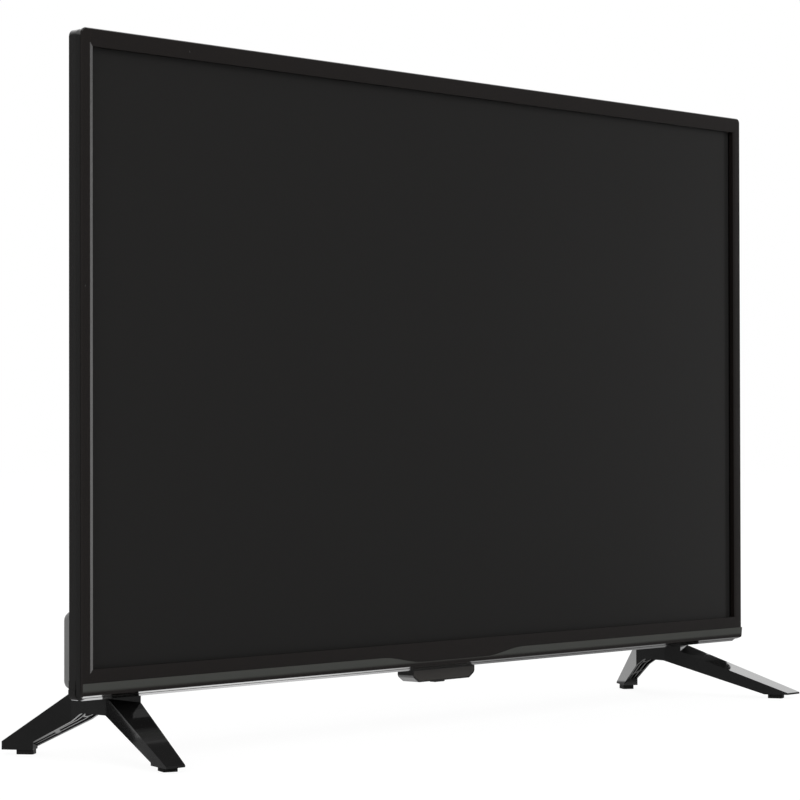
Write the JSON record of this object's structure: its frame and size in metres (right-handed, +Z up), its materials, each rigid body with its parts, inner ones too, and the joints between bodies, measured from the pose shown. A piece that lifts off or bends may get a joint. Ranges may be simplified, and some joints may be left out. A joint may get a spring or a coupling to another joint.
{
  "type": "flat screen tv",
  "caption": "Flat LCD television: slim glossy bezel round a dark screen, stepped rear cover with socket recesses, sensor tab with power key, and splayed V-shaped legs.",
  "frame": {"origin": "centre of the bounding box on the floor, under the middle of the set and midway between toes and heels", "axes": "+X to the viewer's right, +Y backwards from the screen, +Z up"},
  "size_m": [0.7196, 0.171, 0.4677],
  "materials": {
    "bezel_gloss": "piano-black gloss with a soft haze",
    "cover_black": "fine moulded grain",
    "leg_black": "satin gloss",
    "screen_dark": "anti-glare, switched off",
    "frame_black": "moulded",
    "film_white": "translucent satin",
    "reflector_white": "matt white",
    "pan_steel": "zinc coated sheet",
    "strip_white": "white printed board",
    "lens_clear": "clear moulded",
    "board_green": "green printed board",
    "chip_black": "moulded resin",
    "sink_grey": "extruded, anodised",
    "socket_metal": "tinned shell",
    "brass_gold": "turned",
    "header_white": "nylon",
    "inlet_black": "moulded",
    "core_brown": "ferrite and tape",
    "can_sleeve": "shrink sleeve",
    "screw_zinc": "black zinc",
    "post_steel": "zinc plated",
    "basket_steel": "black paint",
    "cone_paper": "pressed fibre",
    "foam_black": "foam",
    "pad_rubber": "matt",
    "window_smoke": "smoked, clear to infrared"
  },
  "bodies": {
    "set": {"front_bezel": "bezel_gloss", "lcd_panel": "screen_dark", "panel_frame": "frame_black", "optical_films": "film_white", "diffuser_plate": "film_white", "reflector_sheet": "reflector_white", "light_strips": "strip_white", "strip_lenses": "lens_clear", "backlight_pan": "pan_steel", "rear_cover": "cover_black", "stand_left": "leg_black", "stand_right": "leg_black", "foot_pads": "pad_rubber", "stand_screws": "screw_zinc", "sensor_housing": "cover_black", "sensor_window": "window_smoke", "sensor_board": "board_green", "remote_receiver": "chip_black", "key_switch": "chip_black", "board_standoffs": "post_steel", "board_screws": "post_steel", "vesa_posts": "post_steel", "cover_posts": "post_steel", "cover_screws": "screw_zinc", "main_board": "board_green", "power_board": "board_green", "main_chip": "chip_black", "heat_sink": "sink_grey", "tuner_can": "socket_metal", "aerial_socket": "brass_gold", "hdmi_sockets": "socket_metal", "usb_socket": "socket_metal", "audio_jack": "inlet_black", "board_headers": "header_white", "mains_inlet": "inlet_black", "inlet_pins": "brass_gold", "transformer": "core_brown", "capacitors": "can_sleeve", "mains_choke": "core_brown", "speaker_left": "basket_steel", "speaker_right": "basket_steel", "speaker_cones": "cone_paper", "speaker_gaskets": "foam_black"},
    "key": {"power_key": "cover_black"}
  },
  "joints": [
    {"name": "power_key_press", "type": "slide", "parent": "set", "child": "key", "axis": [0, 0, 1], "range_m": [0, 0.0008], "stiffness_N_per_m": 300, "springref_m": -0.001}
  ]
}
